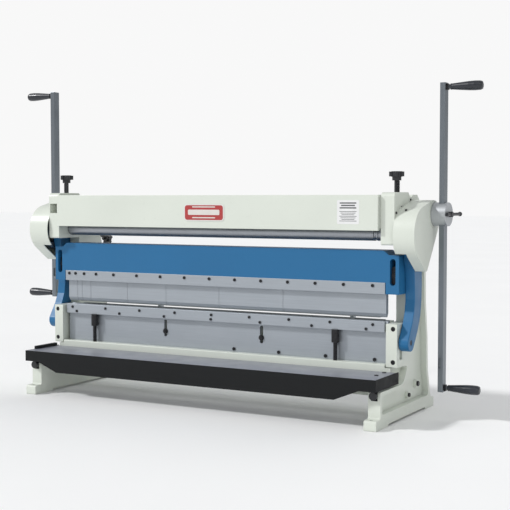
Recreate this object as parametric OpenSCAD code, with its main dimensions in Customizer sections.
// Hand-cranked bench machine that shears, brakes and rolls sheet metal.
// X runs along the bed, -Y is the operator's side, Z is up and z = 0 is the bench.

/* [Machine body] */
// Width over the two side frames
body_w = 1424; // [1422:1:1430]
// Thickness of each side frame
frame_t = 43; // [42:1:44]
// Depth of each foot, front to rear
foot_d = 524; // [520:2:530]
// Height of each foot
foot_h = 34; // [32:1:36]
// Radius of the bench bolt holes in the feet
anchor_r = 6.5; // [5.5:0.5:7]

/* [Bending and shearing] */
// Working length of fingers, die and roll bed
work_l = 1326; // [1320:1:1328]
// Height at which the sheet passes through the machine
pass_z = 330; // [329:1:330]
// Opening between the finger noses and the die with the ram up
brake_gap = 12; // [12:1:14]
// Throw of the crank pins that drive the ram
throw = 14; // [13:0.5:14]

/* [Rolls] */
// Diameter of all three rolls
roll_d = 50; // [48:1:50]
// Gap between the two front rolls at rest
roll_gap = 1; // [1:0.5:1.5]
// Distance from the machine's middle plane back to the front rolls, negative is forward
roll_y = -42; // [-43:1:-41]
// Height of the lower front roll's axis
roll_z = 620; // [619:1:621]
// Height of the upper roll's free travel
lift = 4; // [2:0.5:4]
// Travel of the rear bending roll
rear_travel = 24; // [16:1:24]

/* [Crank drive] */
// Gear module of the whole drive
gear_m = 3; // [3:1:3]
// Teeth of the large drive gears
wheel_teeth = 52; // [52:1:52]
// Teeth of the pinions on the crank shafts
pinion_teeth = 22; // [22:1:22]
// Length of the right crank bar
right_bar_l = 1027; // [1000:1:1030]
// Length of the left crank bar
left_bar_l = 820; // [800:1:830]
// Diameter of the crank hubs
hub_d = 79; // [76:1:80]

/* [Hidden] */

$fn = 48;
fit = 0.05;                 // radial clearance of a running fit
gap = 0.3;                  // clearance between parts that slide past each other
cream = [0.86, 0.88, 0.84];
blue = [0.16, 0.42, 0.66];
steel = [0.62, 0.65, 0.69];
black = [0.10, 0.11, 0.13];
zinc = [0.85, 0.86, 0.90];

// Side frame planes
fx = body_w / 2;            // outer face of a frame
fi = fx - frame_t;          // inner face of a frame
web_t = 21;                 // thickness of the frame's recessed web
foot_y = foot_d / 2;
head_z0 = 584;              // underside of the roll housings
head_z1 = 757;              // top of the roll housings
head_x = fx - 47;           // inner face of a roll housing
column_y = 9;               // front of the frame column
stretcher_at = [[47, 70], [130, 97]];
stretcher_head = [7, 9];    // radius of each tie bar's bolt head
stretcher_seat = fi + web_t + 10;

// Ram
ram_y0 = -81;
ram_z0 = 421;
ram_z1 = 565;
clamp_z1 = 459;
half_l = work_l / 2;
guide_x = fx - 20;          // middle of the ram's end slots
guide_r = 10;
finger_y = -54;             // plane of the finger noses
finger_t = 20;
nose_z = pass_z + brake_gap;
hold_x = [-560, -280, 0, 280, 560];
hold_y = -26;               // plane of the hold-down bar and its bolts

// Bed
die_z0 = 294;
lip_z = pass_z - 1.5;
ledge_z0 = 160;
ledge_z1 = 189;
bed_rear = -10.3;
plate_slots = [-215, 190];  // slots of the face plate
tray_z = 165;
tray_y0 = -266;
tray_y1 = -91;

// Drive
journal_r = 14;
roll_r = roll_d / 2;
upper_z = roll_z + roll_d + roll_gap;
wheel_x0 = fx + 40;
wheel_w = 16;
axis_d = gear_m * (wheel_teeth + pinion_teeth) / 2;
crank_tilt = 35.12;
crank_y = roll_y + axis_d * cos(crank_tilt);
crank_z = roll_z + axis_d * sin(crank_tilt);
crank_r = 10;               // radius of the crank shaft
pin_y = roll_y + throw * cos(60);
pin_z = roll_z + throw * sin(60);
roll_teeth = 17;
arm_x0 = fx + 2;
arm_x1 = fx + 36;
eye_y = -54;
eye_z = 262;
hub_x1 = fx + 126;
bar_x = fx + 105.5;
bar_w = 18;
bar_d = 32;
right_bar_z0 = 91;
left_bar_z0 = 341;
right_studs = [right_bar_z0 + 14, right_bar_z0 + right_bar_l - 14];
left_studs = [left_bar_z0 + 14, left_bar_z0 + left_bar_l - 14];

// Back gauge
gauge_x = 420;
gauge_z = 260;
gauge_l = 520;              // half the length of the sliding gauge

// Rear roll slide
rear_tilt = 20;
rear_y = 66;
rear_z = 622;
rear_r = 12;

// Extrude a (Y, Z) outline along X from x0 to x1.
module slab(x0, x1) {
    translate([x0, 0, 0]) rotate([90, 0, 90]) linear_extrude(x1 - x0) children();
}

// Extrude an (X, Z) outline along Y from y0 to y1.
module panel(y0, y1) {
    translate([0, y1, 0]) rotate([90, 0, 0]) linear_extrude(y1 - y0) children();
}

// Cylinder along X, Y or Z from one end coordinate to the other.
module rod_x(x0, x1, y, z, r) {
    translate([x0, y, z]) rotate([0, 90, 0]) cylinder(h = x1 - x0, r = r);
}
module rod_y(y0, y1, x, z, r) {
    translate([x, y1, z]) rotate([90, 0, 0]) cylinder(h = y1 - y0, r = r);
}
module rod_z(z0, z1, x, y, r) {
    translate([x, y, z0]) cylinder(h = z1 - z0, r = r);
}

// Box given by its lowest and highest corners.
module block(a, b) {
    translate(a) cube(b - a);
}

// The same piece on both sides of the machine.
module both_sides() {
    children();
    mirror([1, 0, 0]) children();
}

// Outline with a round of radius p[2] at each point [a, b, r].
function unit(v) = v / norm(v);
function corner(p, q, s, n) =
    q[2] == 0 ? [[q[0], q[1]]] :
    let (
        c = [q[0], q[1]],
        u = unit([p[0], p[1]] - c),
        w = unit([s[0], s[1]] - c),
        half = acos(u * w) / 2,
        o = c + unit(u + w) * q[2] / sin(half),
        a0 = c + u * q[2] / tan(half) - o,
        t0 = atan2(a0[1], a0[0]),
        a1 = c + w * q[2] / tan(half) - o,
        t1 = atan2(a1[1], a1[0]),
        d = t1 - t0,
        sweep = d > 180 ? d - 360 : d < -180 ? d + 360 : d
    )
    [for (i = [0 : n]) o + q[2] * [cos(t0 + sweep * i / n), sin(t0 + sweep * i / n)]];
function rounded(pts, n = 6) =
    let (k = len(pts))
    [for (i = [0 : k - 1]) each corner(pts[(i + k - 1) % k], pts[i], pts[(i + 1) % k], n)];

// Spur gear outline with straight-sided approximations of 20 degree involutes.
function inv_angle(rb, r) = let (t = sqrt(max(0, r * r / rb / rb - 1))) t * 180 / PI - atan(t);
function gear_half(m, z, r) =
    let (rp = m * z / 2, rb = rp * cos(20), slack = 0.14)
    90 / z - slack / rp * 180 / PI + inv_angle(rb, rp) - inv_angle(rb, max(r, rb));
module gear_outline(m, z, turn) {
    rp = m * z / 2;
    radii = [rp - 1.25 * m, rp - 0.45 * m, rp + 0.2 * m, rp + 0.95 * m];
    flank = [for (r = radii) [r, gear_half(m, z, r)]];
    polygon([
        for (i = [0 : z - 1])
            each concat(
                [for (f = flank) f[0] * [cos(turn + i * 360 / z - f[1]), sin(turn + i * 360 / z - f[1])]],
                [for (k = [3 : -1 : 0]) flank[k][0] *
                    [cos(turn + i * 360 / z + flank[k][1]), sin(turn + i * 360 / z + flank[k][1])]]
            )
    ]);
}
module gear(x0, x1, y, z, m, teeth, turn) {
    translate([0, y, z]) slab(x0, x1) gear_outline(m, teeth, turn);
}

// ---------------------------------------------------------------- side frames

module side_frame() {
    outline = rounded([
        [-foot_y, 0, 3], [-foot_y, foot_h, 8], [-226, foot_h, 6], [-226, 120, 6], [-30, 120, 36],
        [column_y, 178, 8], [-31, 178, 4], [-31, 324, 4], [column_y, 324, 4], [column_y, head_z0, 0],
        [150, head_z0, 0], [173, 485, 30], [178, 380, 60], [196, 256, 60], [203, 135, 30],
        [226, 50, 20], [238, foot_h, 4], [foot_y, foot_h, 8], [foot_y, 0, 3], [180, 0, 3],
        [174, 8, 3], [-157, 8, 3], [-163, 0, 3]
    ]);
    pocket = rounded([
        [-210, 46, 6], [-210, 106, 8], [-40, 106, 40], [24, 170, 20], [24, 570, 8], [136, 570, 8],
        [158, 482, 30], [163, 378, 60], [181, 252, 60], [188, 133, 30], [208, 56, 8], [200, 46, 6]
    ]);
    difference() {
        union() {
            difference() {
                slab(fi, fx) polygon(outline);
                slab(fi + web_t, fx + 1) polygon(pocket);
            }
            slab(fi, fi + web_t) polygon([[-91, 100], [-91, 178], [20, 178], [20, 100]]);
            for (i = [0, 1])
                rod_x(fi + 1, stretcher_seat, stretcher_at[i][0], stretcher_at[i][1],
                    stretcher_head[i] + 4);
        }
        for (y = [-1, 1] * (foot_y - 15))
            rod_z(-1, foot_h + 1, (fi + fx) / 2, y, anchor_r);
        for (p = stretcher_at)
            rod_x(fi - 1, fx + 1, p[0], p[1], 6);
    }
}

module right_frame() {
    color(cream) side_frame();
}

module left_frame() {
    color(cream) mirror([1, 0, 0]) side_frame();
}

// Housing that carries the roll bearings, as it stands on the right.
module roll_housing_blank() {
    outline = rounded([
        [-120, head_z0, 8], [-120, head_z1, 16], [4, head_z1, 3], [20, 742, 3], [36, 742, 3],
        [46, 749, 3], [86, 749, 6], [118, 722, 6], [140, 690, 10], [140, head_z0, 0]
    ]);
    difference() {
        slab(head_x, fx) polygon(outline);
        rod_x(head_x - 1, fx + 1, roll_y, roll_z, 18);
        block([head_x - 1, roll_y - 20, 646], [fx + 1, roll_y + 20, 712]);
        rod_z(700, head_z1 + 1, (head_x + fx) / 2, roll_y, 8 + gap);
        rod_x(head_x - 1, fx + 1, crank_y, crank_z, 16);
        rear_frame_x() {
            block([head_x - 1, -18 - rear_travel - 2, -18 - gap], [fx - 14, 19.5, 18 + gap]);
            rod_y(10, 120, (head_x + fx) / 2 - 8, 0, 6 + gap);
        }
    }
}

// Local frame of the rear roll's slide: Y runs back and down along the slide.
module rear_frame_x() {
    translate([0, rear_y, rear_z]) rotate([-rear_tilt, 0, 0]) children();
}

module right_roll_housing() {
    color(cream) difference() {
        roll_housing_blank();
        rod_x(fx - 14, fx + 1, roll_y, roll_z, 30);
    }
}

module left_roll_housing() {
    color(cream) mirror([1, 0, 0]) difference() {
        roll_housing_blank();
        for (z = [roll_z, upper_z + lift])
            rod_x(fx - 16, fx + 1, roll_y, z, 30.5);
        block([fx - 16, roll_y - 30.5, roll_z], [fx + 1, roll_y + 30.5, upper_z + lift]);
        block([fx - 43, -121, 680], [fx - 4, -65, 716]);
    }
}

module rear_stretchers() {
    color(cream) for (p = stretcher_at)
        rod_x(-fi, fi, p[0], p[1], 14);
}

module stretcher_bolts() {
    color(black) both_sides() for (i = [0, 1]) {
        rod_x(fi, stretcher_seat + 1, stretcher_at[i][0], stretcher_at[i][1], 6);
        translate([stretcher_seat, stretcher_at[i][0], stretcher_at[i][1]]) rotate([0, 90, 0])
            cylinder(h = 6, r = stretcher_head[i], $fn = 6);
    }
}

// ------------------------------------------------------------------------ bed

module bed_casting() {
    section = rounded([
        [-91, ledge_z0, 3], [-91, ledge_z1, 3], [-49, ledge_z1, 0], [-49, die_z0, 0],
        [-30, die_z0, 0], [-30, lip_z, 1], [bed_rear, lip_z, 0], [bed_rear, 120, 3],
        [-30, 120, 3], [-30, ledge_z0, 4]
    ], 4);
    rib_x = [for (i = [-3 : 3]) i * 200];
    color(cream) {
        difference() {
            slab(-fi, fi) polygon(section);
            for (x = plate_slots)
                block([x - 7, -50, 225], [x + 7, -34, 289]);
        }
        for (x = rib_x)
            slab(x - 6, x + 6) polygon([[-88, ledge_z0], [-30, ledge_z0], [-30, 122]]);
    }
}

module bed_face_plate() {
    color(steel) difference() {
        block([-half_l, -61, ledge_z1], [half_l, -49, die_z0]);
        for (x = plate_slots) {
            block([x - 6.5, -62, 232], [x + 6.5, -48, 282]);
            rod_y(-62, -48, x, 232, 6.5);
            rod_y(-62, -48, x, 282, 6.5);
        }
    }
}

// Die with a V groove under the finger noses.
module die_bar() {
    color(steel) slab(-half_l, half_l) polygon([
        [-78, die_z0], [-78, pass_z - 1], [-77, pass_z], [finger_y - 12, pass_z], [finger_y, pass_z - 16],
        [finger_y + 12, pass_z], [-30, pass_z], [-30, die_z0]
    ]);
}

module die_bar_screws() {
    color(black) {
        for (i = [0 : 8])
            socket_head(-635 + i * 157, -78, 318, 5);
        for (i = [0 : 6])
            socket_head(-615 + i * 202, -78, 302, 5);
    }
}

// Socket head standing proud of a front face at y.
module socket_head(x, y, z, r, proud = 2.5) {
    difference() {
        rod_y(y - proud, y, x, z, r);
        translate([x, y - proud + 1.6, z]) rotate([90, 0, 0]) cylinder(h = 3, r = r * 0.5, $fn = 6);
    }
}

module die_jack_screws() {
    color(black) for (x = [-531, 483]) {
        rod_z(ledge_z1, 250, x, -75.5, 6.5);
        rod_z(250, die_z0, x, -75.5, 13);
    }
}

module lower_shear_blade() {
    color(steel) block([-636, bed_rear, 289], [636, -gap, pass_z - 0.5]);
}

module bed_end_plates() {
    outline = rounded([[-90.5, 180, 3], [-90.5, 324, 3], [-31, 324, 3], [-31, 180, 3]], 4);
    color(cream) both_sides() difference() {
        slab(fx - 39, fx) polygon(outline);
        block([fx - 28, eye_y - 12, 204], [fx + 1, eye_y + 12, 276]);
        for (z = [198, 308])
            rod_y(-100, -82, fx - 14, z, 8);
    }
}

module bed_bolts() {
    color(black) {
        both_sides() for (z = [198, 308])
            socket_head(fx - 14, -82, z, 7.8, 6.5);
        for (i = [0 : 3])
            socket_head(78 + i * 181.1, -61, 199, 6, 3);
        for (x = plate_slots) {
            rod_y(-64, -61, x, 246, 10);
            socket_head(x, -64, 246, 6, 4);
        }
    }
}

// ----------------------------------------------------------------------- tray

module tray_plate() {
    color([0.60, 0.61, 0.67]) block([-fx + 3, tray_y0 + 3, tray_z - 5], [fx - 3, tray_y1, tray_z]);
}

module tray_apron() {
    front = [
        [-fx, tray_z], [fx, tray_z], [fx, 126], [653, 126], [566, 91],
        [-566, 91], [-653, 126], [-fx, 126]
    ];
    color(black) {
        panel(tray_y0, tray_y0 + 3) polygon(front);
        both_sides() {
            block([fx - 3, tray_y0 + 3, 126], [fx, -72, tray_z]);
            block([fx - 40, tray_y0 + 3, 126], [fx - 3, -226, 129]);
            block([fx - 32, -229, 92], [fx - 10, -226, 129]);
        }
        block([-566, tray_y0 + 3, 91], [566, tray_y0 + 28, 94]);
    }
}

module side_gauge() {
    color(black) block([-fx + 1, -215, tray_z], [-fx + 14, -96, tray_z + 11]);
}

module tray_knobs() {
    color(black) {
        both_sides() {
            rod_y(-242, -229, fx - 21, 109, 13);
            rod_x(fx, fx + 2.5, -82, 138, 4);
        }
        for (y = [-108, -173])
            rod_z(tray_z, tray_z + 2.5, fx - 37, y, 7);
    }
}

// ----------------------------------------------------------------- roll cover

module roll_cover() {
    t = 2;
    x1 = head_x - 4;
    section = [
        [-124, 631.5], [-136, 631.5], [-136, 748.5], [10, 748.5], [10, 738], [10 - t, 738],
        [10 - t, 748.5 - t], [-136 + t, 748.5 - t], [-136 + t, 631.5 + t], [-124, 631.5 + t]
    ];
    color(cream) {
        slab(-x1, x1) polygon(section);
        both_sides() {
            slab(x1 - t, x1)
                polygon([[-135, 632.5], [-135, 747.5], [9, 747.5], [9, 708], [-72, 708], [-90, 632.5]]);
            slab(x1 - 1, head_x)
                polygon([[-118, 640], [-118, 746], [0, 746], [0, 708], [-72, 708], [-90, 640]]);
        }
    }
}

// ----------------------------------------------------------------- drive case

// Drive case outline, shrunk by w.
module case_outline(w) {
    hull() {
        translate([roll_y, roll_z - 2]) circle(r = 92 - w, $fn = 96);
        translate([42, 671]) circle(r = 60 - w, $fn = 64);
        translate([-22, 512]) circle(r = 16 - w, $fn = 32);
    }
}

module gear_cover(x1) {
    wall = 3.5;
    difference() {
        union() {
            slab(fx, x1) case_outline(0);
            rod_x(x1 - 1, x1 + 1.5, crank_y, crank_z, 46);
        }
        slab(fx - 1, x1 - wall) case_outline(wall);
        rod_x(x1 - wall - 1, x1 + 2, crank_y, crank_z, 24);
        block([fx - 1, -160, 480], [fx + 38, 60, 556]);
        block([fx - 1, -20, 540], [fx + 38, 110, 604]);
    }
}

module right_gear_cover() {
    color(cream) gear_cover(fx + 74);
}

module left_gear_cover() {
    color(cream) mirror([1, 0, 0]) gear_cover(fx + 86);
}

module cover_screws() {
    spots = [[-106, 690], [22, 733]];
    color(black) {
        both_sides() for (p = spots)
            rod_x(fx, fx + 3, p[0], p[1], 3.5);
        translate([fx + 28, roll_y, roll_z - 2]) rotate([30, 0, 0])
            translate([0, 0, 92]) cylinder(h = 3, r = 4);
    }
}

module shaft_bushes() {
    color([0.72, 0.58, 0.30]) both_sides() {
        difference() {
            rod_x(head_x, fx - 16.5, roll_y, roll_z, 18);
            rod_x(head_x - 1, fx, roll_y, roll_z, journal_r + fit);
        }
        difference() {
            rod_x(head_x, fx, crank_y, crank_z, 16);
            rod_x(head_x - 1, fx + 1, crank_y, crank_z, crank_r + fit);
        }
    }
}

// ------------------------------------------------------------------------ ram

// Guide blocks on the columns, one in each end slot of the ram.
module ram_guide_bolts() {
    r = guide_r - gap;
    front = -66;
    color(black) both_sides() {
        rod_y(front, column_y, guide_x, 462, r);
        rod_y(front, column_y, guide_x, 502, r);
        block([guide_x - r, front, 462], [guide_x + r, column_y, 502]);
        socket_head(guide_x, front, 482, 7.5, 5);
    }
}

module ram_beam() {
    end_z = 550;
    bays = [-495, -165, 165, 495];
    bay_half = 155;
    color(blue) difference() {
        panel(ram_y0, 0) polygon(rounded([
            [-fx - 2, ram_z0, 0], [fx + 2, ram_z0, 0], [fx + 2, end_z, 4], [678, end_z, 10],
            [660, ram_z1, 10], [-660, ram_z1, 10], [-678, end_z, 10], [-fx - 2, end_z, 4]
        ]));
        block([-half_l - 4, ram_y0 - 1, ram_z0 - 1], [half_l + 4, finger_y + finger_t / 2, clamp_z1]);
        for (x = bays)
            block([x - bay_half, -56, 448], [x + bay_half, 1, 545]);
        for (x = hold_x)
            rod_z(ram_z0 - 1, 441, x, hold_y, 5 + fit);
        both_sides() {
            rod_y(ram_y0 - 1, 1, guide_x, 460, guide_r);
            rod_y(ram_y0 - 1, 1, guide_x, 528, guide_r);
            block([guide_x - guide_r, ram_y0 - 1, 460], [guide_x + guide_r, 1, 528]);
        }
    }
}

module punch_clamp_bar() {
    color(steel) panel(ram_y0, finger_y - finger_t / 2) polygon(rounded([
        [-half_l - 2, ram_z0, 1], [half_l + 2, ram_z0, 1],
        [half_l + 2, clamp_z1, 1], [-half_l - 2, clamp_z1, 1]
    ], 2));
}

module clamp_screws() {
    near = [-647, -617, -576, -519];
    color(black) {
        for (x = near)
            socket_head(x, ram_y0, 448, 5.5);
        for (i = [0 : 10])
            socket_head(-437 + i * 105.8, ram_y0, 448, 5.5);
    }
}

module brake_fingers() {
    widths = [42, 22, 42, 171, 175, 228, 260, 386];
    front = finger_y - finger_t / 2;
    back = finger_y + finger_t / 2;
    seam = 0.3;
    section = [
        [front, clamp_z1], [back, clamp_z1], [back, nose_z + 13], [finger_y + 2, nose_z],
        [finger_y - 2, nose_z], [front, nose_z + 13]
    ];
    color(steel) for (i = [0 : len(widths) - 1])
        let (before = [for (k = [0 : i]) widths[k]])
        let (x1 = before * [for (k = [0 : i]) 1] - half_l)
        slab(x1 - widths[i] + seam, x1 - seam) polygon(section);
}

// Upper blade with a raked cutting edge.
module upper_shear_blade() {
    color(steel) panel(0, 12) polygon([[-636, 340], [636, 346], [636, 447], [-636, 447]]);
}

module arm() {
    path = [
        [pin_y + 3.5, pin_z, 34], [5, 510, 36], [8, 450, 34], [8, 400, 32], [0, 355, 31],
        [-18, 315, 30], [-38, 285, 29.5], [eye_y, eye_z, 29]
    ];
    difference() {
        union() for (i = [1 : len(path) - 1])
            slab(arm_x0, arm_x1) hull() for (p = [path[i - 1], path[i]])
                translate([p[0], p[1]]) circle(r = p[2]);
        slab(arm_x0 - 1, arm_x1 + 1) {
            translate([pin_y, pin_z]) circle(r = 16.4);
            translate([pin_y + 7, pin_z]) circle(r = 16.4);
            translate([pin_y, pin_z - 16.4]) square([7, 32.8]);
        }
        rod_x(arm_x0 - 1, arm_x1 + 1, eye_y, eye_z, 9);
    }
}

module right_arm() {
    color(blue) arm();
}

module left_arm() {
    color(blue) mirror([1, 0, 0]) arm();
}

module arm_guide_pins() {
    color(steel) both_sides() {
        rod_x(fx - 26, arm_x1 - 1, eye_y, eye_z, 9);
        rod_x(fx - 26, fx - 0.5, eye_y, eye_z, 11.5);
    }
}

// ------------------------------------------------------------------ hold-down

module hold_down_bar() {
    z0 = pass_z + 8;
    color(cream) difference() {
        block([-630, hold_y - 12, z0], [630, hold_y + 12, z0 + 40]);
        for (x = hold_x) {
            rod_z(z0 - 1, z0 + 28, x, hold_y, 8.6);
            rod_z(z0 + 27, z0 + 41, x, hold_y, 5.5);
        }
    }
}

module hold_down_bolts() {
    z0 = pass_z + 8;
    color(steel) for (x = hold_x) {
        rod_z(z0 + 20, z0 + 27.7, x, hold_y, 8);
        rod_z(z0 + 27, 441, x, hold_y, 5);
    }
}

module hold_down_springs() {
    color(steel) for (x = hold_x) difference() {
        rod_z(pass_z + 48.3, ram_z0, x, hold_y, 8.5);
        rod_z(pass_z + 48, ram_z0 + 1, x, hold_y, 6);
    }
}

// ---------------------------------------------------------------------- rolls

// Plain roll along X with three bead grooves at its right end.
module roll_body(y, z, grooved) {
    barrel = head_x - 1;
    difference() {
        rod_x(-barrel, barrel, y, z, roll_r);
        if (grooved) for (i = [0 : 2])
            translate([646 - i * 13, y, z]) rotate([0, 90, 0]) rotate_extrude()
                translate([roll_r + 0.5, 0]) circle(r = 2.5 + i, $fn = 24);
    }
}

module lower_roll() {
    color(steel) {
        roll_body(roll_y, roll_z, true);
        rod_x(head_x - 2, fx - 13, roll_y, roll_z, journal_r);
        rod_x(fx - 13, fx + 1, roll_y, roll_z, 28.5);
        rod_x(-fx + 15.5, -head_x + 2, roll_y, roll_z, journal_r);
        gear(-fx - 1, -fx + 15.5, roll_y, roll_z, gear_m, roll_teeth, 90);
    }
}

module crank_pins() {
    color(zinc) both_sides() {
        rod_x(fx + 1, wheel_x0, pin_y, pin_z, 9);
        rod_x(arm_x0 + 0.5, arm_x1 - 0.5, pin_y, pin_z, 15);
    }
}

module drive_wheels() {
    color(steel) both_sides() difference() {
        gear(wheel_x0, wheel_x0 + wheel_w, roll_y, roll_z, gear_m, wheel_teeth, crank_tilt);
        for (i = [0 : 5])
            rod_x(wheel_x0 - 1, wheel_x0 + wheel_w + 1,
                roll_y + 50 * cos(i * 60), roll_z + 50 * sin(i * 60), 15);
    }
}

module upper_roll() {
    color(steel) {
        roll_body(roll_y, upper_z, true);
        rod_x(head_x - 2, fx - 15, roll_y, upper_z, journal_r);
        rod_x(-fx + 14.5, -head_x + 2, roll_y, upper_z, journal_r);
        gear(-fx + 0.5, -fx + 14.5, roll_y, upper_z, gear_m, roll_teeth, -90 + 180 / roll_teeth);
    }
}

module upper_roll_blocks() {
    color([0.72, 0.58, 0.30]) both_sides() difference() {
        block([head_x + 1, roll_y - 20 + gap, upper_z - 21], [fx - 17, roll_y + 20 - gap, upper_z + 22]);
        rod_x(head_x, fx, roll_y, upper_z, journal_r + fit);
        rod_z(upper_z + 14.5, upper_z + 23, (head_x + fx) / 2, roll_y, 5.3);
    }
}

// Five-lobed knob along +Z with its screw below, both on the local Z axis.
module star_knob(head_r, screw_r, screw_l) {
    lobe_r = head_r * 0.28;
    rod_z(-screw_l, 0, 0, 0, screw_r);
    rod_z(0, 13, 0, 0, head_r * 0.58);
    rod_z(12, 30, 0, 0, head_r * 0.70);
    for (i = [0 : 4])
        rotate(i * 72) rod_z(13, 29, head_r - lobe_r, 0, lobe_r);
}

module pinch_knob() {
    knob_x = (head_x + fx) / 2;
    translate([knob_x, roll_y, 796]) star_knob(26, 8, 796 - upper_z - 22.3);
    rod_z(upper_z + 15, upper_z + 23, knob_x, roll_y, 5);
}

module right_pinch_knob() {
    color(black) pinch_knob();
}

module left_pinch_knob() {
    color(black) mirror([1, 0, 0]) pinch_knob();
}

module rear_roll() {
    color(steel) {
        roll_body(rear_y, rear_z, false);
        both_sides() rod_x(head_x - 2, fx - 16, rear_y, rear_z, rear_r);
    }
}

module rear_roll_blocks() {
    color([0.72, 0.58, 0.30]) both_sides() difference() {
        rear_frame_x() {
            block([head_x + 1, -18, -18], [fx - 15, 18, 18]);
        }
        rod_x(head_x, fx, rear_y, rear_z, rear_r + fit);
        rear_frame_x() rod_y(13.5, 19, (head_x + fx) / 2 - 8, 0, 3.3);
    }
}

module rear_knob() {
    rear_frame_x() translate([(head_x + fx) / 2 - 8, 130, 0]) rotate([-90, 0, 0]) {
        star_knob(22, 6, 130 - 18.3);
        rod_z(14 - 130, 19 - 130, 0, 0, 3);
    }
}

module right_rear_knob() {
    color(black) rear_knob();
}

module left_rear_knob() {
    color(black) mirror([1, 0, 0]) rear_knob();
}

// --------------------------------------------------------------------- cranks

// Hub with its stub shaft; x0 is the hub's inner face.
module crank_hub(x0) {
    difference() {
        union() {
            rod_x(head_x + 2, x0 + 1, crank_y, crank_z, crank_r);
            rod_x(wheel_x0 + wheel_w, x0 + 1, crank_y, crank_z, 18);
            rod_x(x0, hub_x1, crank_y, crank_z, hub_d / 2);
        }
        block([bar_x - bar_w / 2 - gap, crank_y - bar_d / 2 - gap, crank_z - 60],
            [bar_x + bar_w / 2 + gap, crank_y + bar_d / 2 + gap, crank_z + 60]);
        rod_x(bar_x, hub_x1 + 1, crank_y, crank_z, 6 + fit);
    }
}

module right_crank_hub() {
    color(zinc) crank_hub(fx + 76);
}

module left_crank_hub() {
    color(zinc) mirror([1, 0, 0]) crank_hub(fx + 90);
}

module pinion() {
    difference() {
        gear(wheel_x0, wheel_x0 + wheel_w, crank_y, crank_z, gear_m, pinion_teeth,
            crank_tilt + 180 + 180 / pinion_teeth);
        rod_x(wheel_x0 - 1, wheel_x0 + wheel_w + 1, crank_y, crank_z, crank_r);
    }
}

module right_pinion() {
    color(steel) pinion();
}

module left_pinion() {
    color(steel) mirror([1, 0, 0]) pinion();
}

// Flat bar with a handle stud near each end; z1 is its top, studs lists the stud heights.
module crank_bar(z0, z1, studs) {
    difference() {
        block([bar_x - bar_w / 2, crank_y - bar_d / 2, z0], [bar_x + bar_w / 2, crank_y + bar_d / 2, z1]);
        block([bar_x - 7, crank_y - bar_d / 2 - 1, z0 + 80], [bar_x + 1, crank_y - bar_d / 2 + 5, z0 + 115]);
    }
    for (z = studs) {
        rod_x(bar_x, fx + 232, crank_y, z, 5);
        translate([bar_x + bar_w / 2, crank_y, z]) rotate([0, 90, 0]) cylinder(h = 7, r = 10, $fn = 6);
    }
}

module right_crank_bar() {
    color(steel) crank_bar(right_bar_z0, right_bar_z0 + right_bar_l, right_studs);
}

module left_crank_bar() {
    color(steel) mirror([1, 0, 0]) crank_bar(left_bar_z0, left_bar_z0 + left_bar_l, left_studs);
}

// Turned handle grip that spins on its stud.
module grip(z) {
    x0 = fx + 127;
    l = 110;
    translate([x0, crank_y, z]) rotate([0, 90, 0]) difference() {
        rotate_extrude() polygon([
            [0, 0], [9, 0], [10.5, 2], [10.2, 7], [12.6, l * 0.3], [15.2, l * 0.58], [16, l * 0.76],
            [15.4, l - 8], [13, l - 2], [8, l], [0, l]
        ]);
        translate([0, 0, -1]) cylinder(h = l - 3, r = 5 + fit);
    }
}

module right_upper_grip() {
    color(black) grip(right_studs[1]);
}

module right_lower_grip() {
    color(black) grip(right_studs[0]);
}

module left_upper_grip() {
    color(black) mirror([1, 0, 0]) grip(left_studs[1]);
}

module left_lower_grip() {
    color(black) mirror([1, 0, 0]) grip(left_studs[0]);
}

// Clamp screw in the hub's end with a sliding T-bar.
module clamp_screw() {
    rod_x(bar_x + bar_w / 2 + 0.5, hub_x1 + 1, crank_y, crank_z, 6);
    rod_x(hub_x1 + 0.5, hub_x1 + 13, crank_y, crank_z, 9);
    rod_y(crank_y - 40, crank_y + 88, hub_x1 + 6.5, crank_z, 5.5);
    translate([hub_x1 + 6.5, crank_y + 90, crank_z]) sphere(r = 7.8);
}

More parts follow.
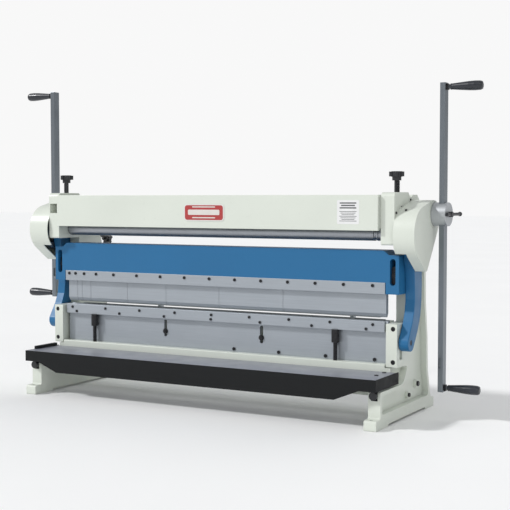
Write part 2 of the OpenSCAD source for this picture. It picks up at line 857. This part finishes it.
module right_clamp_screw() {
    color(black) clamp_screw();
}

module left_clamp_screw() {
    color(black) mirror([1, 0, 0]) clamp_screw();
}

// ----------------------------------------------------------------- back gauge

module back_gauge_rods() {
    color(steel) both_sides() rod_y(bed_rear, foot_y + 4, gauge_x, gauge_z, 10);
}

module back_gauge_bar() {
    color(steel) {
        block([-gauge_l, 196, pass_z - 12], [gauge_l, 202, pass_z + 20]);
        block([-gauge_l, 196, pass_z + 14], [gauge_l, 222, pass_z + 20]);
        both_sides() {
            block([gauge_x - 7, 202, gauge_z + 14], [gauge_x + 7, 222, pass_z + 20]);
            difference() {
                block([gauge_x - 20, 196, gauge_z - 20], [gauge_x + 20, 236, gauge_z + 20]);
                rod_y(190, 240, gauge_x, gauge_z, 10 + fit);
            }
        }
    }
    color(black) both_sides() {
        rod_x(gauge_x + 20, gauge_x + 26, 216, gauge_z, 5);
        rod_x(gauge_x + 26, gauge_x + 40, 216, gauge_z, 12);
    }
}

left_frame();
right_frame();
left_roll_housing();
right_roll_housing();
bed_casting();
bed_face_plate();
die_bar();
lower_shear_blade();
bed_end_plates();
bed_bolts();
die_bar_screws();
die_jack_screws();
tray_plate();
tray_apron();
side_gauge();
tray_knobs();
roll_cover();
left_gear_cover();
right_gear_cover();
cover_screws();
rear_stretchers();
stretcher_bolts();
back_gauge_rods();
shaft_bushes();
ram_guide_bolts();
ram_beam();
punch_clamp_bar();
brake_fingers();
clamp_screws();
upper_shear_blade();
left_arm();
right_arm();
arm_guide_pins();
hold_down_bolts();
hold_down_springs();
hold_down_bar();
lower_roll();
drive_wheels();
crank_pins();
upper_roll_blocks();
upper_roll();
left_pinch_knob();
right_pinch_knob();
rear_roll_blocks();
rear_roll();
left_rear_knob();
right_rear_knob();
left_crank_hub();
right_crank_hub();
left_pinion();
right_pinion();
left_crank_bar();
right_crank_bar();
left_upper_grip();
left_lower_grip();
right_upper_grip();
right_lower_grip();
left_clamp_screw();
right_clamp_screw();
back_gauge_bar();
